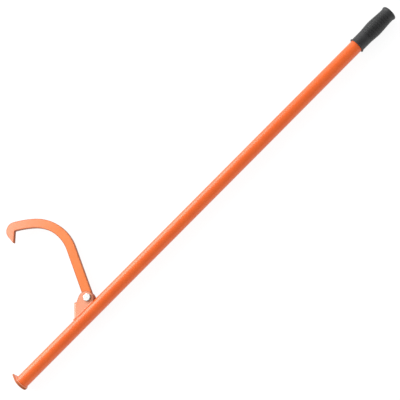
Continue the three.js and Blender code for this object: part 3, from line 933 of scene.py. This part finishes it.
def chamfered(height, rise, top_radius):
    """Height at which a cone cuts the hexagon's side. rise is how steeply the cone drops."""
    return lambda angle: height - rise * max(0.0, hexagon(angle) - top_radius)


def shy_hexagon(amount):
    """The hexagon's radius less an amount."""
    return lambda angle: hexagon(angle) - amount


def thread(height):
    """Radius at each angle of the bolt's thread, which fades out upwards and tapers to the tip."""

    def at(angle):
        wave = (height / THREAD_PITCH - angle / (2 * math.pi)) % 1.0
        groove = THREAD_DEPTH * max(0.0, abs(wave - 0.5) * 2 - THREAD_CREST)
        fade = min(1.0, (THREAD_LENGTH - BOLT_LENGTH - height) / THREAD_PITCH)
        lead = BOLT_TIP_RADIUS + BOLT_TIP_EASE + (height + BOLT_LENGTH) * BOLT_TIP_RISE
        return min(BOLT_RADIUS - groove * fade, lead)

    return at


def placed_at(points, height, flip=False):
    """Points drawn on the Z axis, moved to the pivot. flip turns them over about the X axis."""
    sign = -1 if flip else 1
    return [PIVOT + Vector((p.x, sign * p.y, height + sign * p.z)) for p in points]


def add_bolt():
    """Hexagon bolt pointing down, its seat at 0, with a rolled thread on its lower part."""
    rows = [(0, -BOLT_LENGTH), (BOLT_TIP_RADIUS, -BOLT_LENGTH)]
    height = -BOLT_LENGTH + BOLT_TIP_EASE
    thread_top = -BOLT_LENGTH + THREAD_LENGTH
    while height < thread_top:
        rows.append((thread(height), height))
        height += THREAD_STEP
    rows += [(BOLT_RADIUS, thread_top + 0.1), (BOLT_RADIUS, -0.4), (BOLT_RADIUS + 0.3, 0.02)]
    rows += [(FACE_RADIUS - 0.25, 0.02), (FACE_RADIUS - 0.05, 0.25), (FACE_RADIUS, FACE_HEIGHT)]
    rows += [(shy_hexagon(0.15), FACE_HEIGHT), (hexagon, FACE_HEIGHT + 0.15)]
    top = ACROSS_FLATS / 2 - 0.25
    side = chamfered(HEAD_HEIGHT, 0.55, top)
    rows += [(hexagon, lambda angle: side(angle) - 0.12), (shy_hexagon(0.1), side)]
    rows += [(top, HEAD_HEIGHT), (top - 0.5, HEAD_HEIGHT), (4, HEAD_HEIGHT), (0, HEAD_HEIGHT)]
    points, faces = turned(rows, ROUND_SIDES, "Z")
    # The head's sides carry painted shade, darker than its face
    painted_shade_mask = [1.0 if p.z > 0.6 and p.to_2d().length > top + 0.1 else 0.0 for p in points]
    placed = placed_at(points, EAR_OUTER + GAP)
    add_piece("bolt", placed, faces, "lever", "pivot_bolt", zinc_plate, painted_shade_mask)


def add_washer():
    rows = ring_rows(BORE_RADIUS, WASHER_RADIUS, 0, WASHER_THICKNESS, WASHER_EDGE)
    points, faces = turned(rows, ROUND_SIDES, "Z", closed=True)
    placed = placed_at(points, -EAR_OUTER - GAP - WASHER_THICKNESS)
    add_piece("washer", placed, faces, "lever", "pivot_washer", zinc_plate)


def add_nut():
    """Lock nut: a hexagon chamfered on both faces, and a round collar crimped over the ring."""
    top = ACROSS_FLATS / 2 - 0.2
    low, high = chamfered(0, 0.5, top), chamfered(NUT_HEX_HEIGHT, 0.5, top)
    ring_seat = BORE_RADIUS + RING_WALL + GAP
    ring_low = NUT_HEIGHT - RING_DEPTH - RING_HEIGHT - GAP
    rows = [(BORE_RADIUS, 0.8), (BORE_RADIUS + 0.7, 0), (top, 0)]
    rows += [(shy_hexagon(0.1), lambda angle: -low(angle))]
    rows += [(hexagon, lambda angle: 0.12 - low(angle))]
    rows += [(hexagon, lambda angle: high(angle) - 0.12), (shy_hexagon(0.1), high)]
    rows += [(top, NUT_HEX_HEIGHT), (COLLAR_RADIUS + 0.25, NUT_HEX_HEIGHT)]
    rows += [(COLLAR_RADIUS, NUT_HEX_HEIGHT + 0.3)]
    rows += [(COLLAR_RADIUS, NUT_HEIGHT - COLLAR_EDGE - 0.05)]
    collar = (COLLAR_RADIUS - COLLAR_EDGE, NUT_HEIGHT - COLLAR_EDGE)
    rows += edge_arc(collar, COLLAR_EDGE, 0, QUARTER, 5)
    rows += [(ring_seat + 0.02, NUT_HEIGHT - 0.05), (ring_seat, NUT_HEIGHT - 0.3)]
    rows += [(ring_seat, ring_low), (BORE_RADIUS, ring_low)]
    points, faces = turned(rows, ROUND_SIDES, "Z", closed=True)
    placed = placed_at(points, NUT_SEAT, flip=True)
    add_piece("nut", placed, faces, "lever", "pivot_nut", zinc_plate)


def add_lock_ring():
    low = NUT_HEIGHT - RING_DEPTH - RING_HEIGHT
    high = low + RING_HEIGHT
    rows = ring_rows(BORE_RADIUS, BORE_RADIUS + RING_WALL, low, high, RING_EDGE)
    points, faces = turned(rows, ROUND_SIDES, "Z", closed=True)
    placed = placed_at(points, NUT_SEAT, flip=True)
    add_piece("nut_ring", placed, faces, "lever", "nut_lock_ring", nylon)


# Light, floor and camera


def ray_share(tree, *kinds):
    """1 for rays of any of these kinds, as Light Path gives them."""
    path = tree.nodes.new("ShaderNodeLightPath")
    total = path.outputs[kinds[0]]
    for kind in kinds[1:]:
        total = combined(tree, "MAXIMUM", total, path.outputs[kind])
    return total


def add_world():
    """An even soft light from all round. The camera sees white, and so do metal and gloss except
    for the studio's dark ceiling, which lies overhead on the side away from the hook."""
    world = bpy.data.worlds.new("studio")
    bpy.context.scene.world = world
    world.use_nodes = True
    tree = world.node_tree
    light = next(n for n in tree.nodes if n.type == "BACKGROUND")
    light.inputs["Color"].default_value = (1, 1, 1, 1)
    light.inputs["Strength"].default_value = ROOM_LIGHT
    seen = tree.nodes.new("ShaderNodeBackground")
    seen.inputs["Color"].default_value = (1, 1, 1, 1)
    coordinates = tree.nodes.new("ShaderNodeTexCoord")
    ceiling = tree.nodes.new("ShaderNodeVectorMath")
    ceiling.operation = "DOT_PRODUCT"
    tree.links.new(coordinates.outputs["Generated"], ceiling.inputs[0])
    ceiling.inputs[1].default_value = CEILING_UP
    dimmed = spread(tree, ceiling.outputs["Value"], *CEILING_EDGE, ROOM_SEEN, CEILING_SEEN)
    strength = combined(tree, "MAXIMUM", dimmed, ray_share(tree, "Is Camera Ray"))
    tree.links.new(strength, seen.inputs["Strength"])
    mix = tree.nodes.new("ShaderNodeMixShader")
    tree.links.new(ray_share(tree, *SEEING_RAYS), mix.inputs["Fac"])
    tree.links.new(light.outputs[0], mix.inputs[1])
    tree.links.new(seen.outputs[0], mix.inputs[2])
    output = next(n for n in tree.nodes if n.type == "OUTPUT_WORLD")
    tree.links.new(mix.outputs[0], output.inputs["Surface"])


def add_floor():
    """A pale surface that takes shadow, and that the camera, metal and gloss see lit up."""
    material, tree, shader = node_material("floor")
    tree.nodes.remove(shader)
    pale = tree.nodes.new("ShaderNodeBsdfDiffuse")
    pale.inputs["Color"].default_value = (FLOOR_COLOUR, FLOOR_COLOUR, FLOOR_COLOUR, 1)
    glow = tree.nodes.new("ShaderNodeEmission")
    strength = spread(tree, ray_share(tree, *SEEING_RAYS), 0, 1, FLOOR_LIGHT, FLOOR_SEEN)
    tree.links.new(strength, glow.inputs["Strength"])
    both = tree.nodes.new("ShaderNodeAddShader")
    tree.links.new(pale.outputs[0], both.inputs[0])
    tree.links.new(glow.outputs[0], both.inputs[1])
    output = next(n for n in tree.nodes if n.type == "OUTPUT_MATERIAL")
    tree.links.new(both.outputs[0], output.inputs["Surface"])
    mesh = bpy.data.meshes.new("floor")
    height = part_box("pivot_bolt")[0].z - FLOOR_GAP
    corners = [(x * FLOOR_REACH, y * FLOOR_REACH, height) for x, y in FLOOR_CORNERS]
    mesh.from_pydata(corners, [], [(0, 1, 2, 3)])
    mesh.materials.append(material)
    floor = bpy.data.objects.new("floor", mesh)
    bpy.context.scene.collection.objects.link(floor)


def add_panel():
    """The softbox on the hook's side, which draws the highlight along the tube."""
    width, height = PANEL_SIZE
    lamp = bpy.data.lights.new("strip", "AREA")
    lamp.shape = "RECTANGLE"
    lamp.size, lamp.size_y = width, height
    lamp.energy = math.pi * width * height * PANEL_RADIANCE
    panel = bpy.data.objects.new("strip", lamp)
    bpy.context.scene.collection.objects.link(panel)
    panel.location = PANEL_PLACE
    ahead = Vector(PANEL_TARGET) - Vector(PANEL_PLACE)
    panel.rotation_euler = ahead.to_track_quat("-Z", "Y").to_euler()
    panel.visible_camera = False


def add_camera():
    """The photograph's view: from above the hook's flat side, leaning about the tube's axis."""
    camera = bpy.data.objects.new("camera", bpy.data.cameras.new("camera"))
    bpy.context.scene.collection.objects.link(camera)
    bpy.context.scene.camera = camera
    camera.data.sensor_width = SENSOR_WIDTH
    camera.data.lens = SENSOR_WIDTH * FOCAL_LENGTH / PICTURE_WIDTH
    camera.data.clip_start, camera.data.clip_end = 0.05, 60
    up = Vector((-CAMERA_RIGHT.y, CAMERA_RIGHT.x, 0))
    axes = Matrix((CAMERA_RIGHT, up, CAMERA_RIGHT.cross(up))).transposed().to_4x4()
    lean = Matrix.Rotation(CAMERA_LEAN, 4, "X")
    camera.matrix_world = lean @ Matrix.Translation(CAMERA_PLACE) @ axes


add_tube()
add_grip()
add_toe_plate()
add_toe_weld()
add_bracket()
for side, place in ((1, "front"), (-1, "back")):
    ends = sorted((side * (BEND_END + EAR_BEAD_START), side * (PIVOT_ACROSS + EAR_BEAD_REACH)))
    bracket_bead("ear_weld_" + place, "bracket_weld_" + place, *ends)
bracket_bead("web_weld", "bracket_weld_web", WEB_BEAD_END - BEND_END, BEND_END - WEB_BEAD_END)
add_hook()
add_bolt()
add_washer()
add_nut()
add_lock_ring()

bpy.context.scene.view_settings.view_transform = "Standard"
add_world()
add_floor()
add_panel()
add_camera()
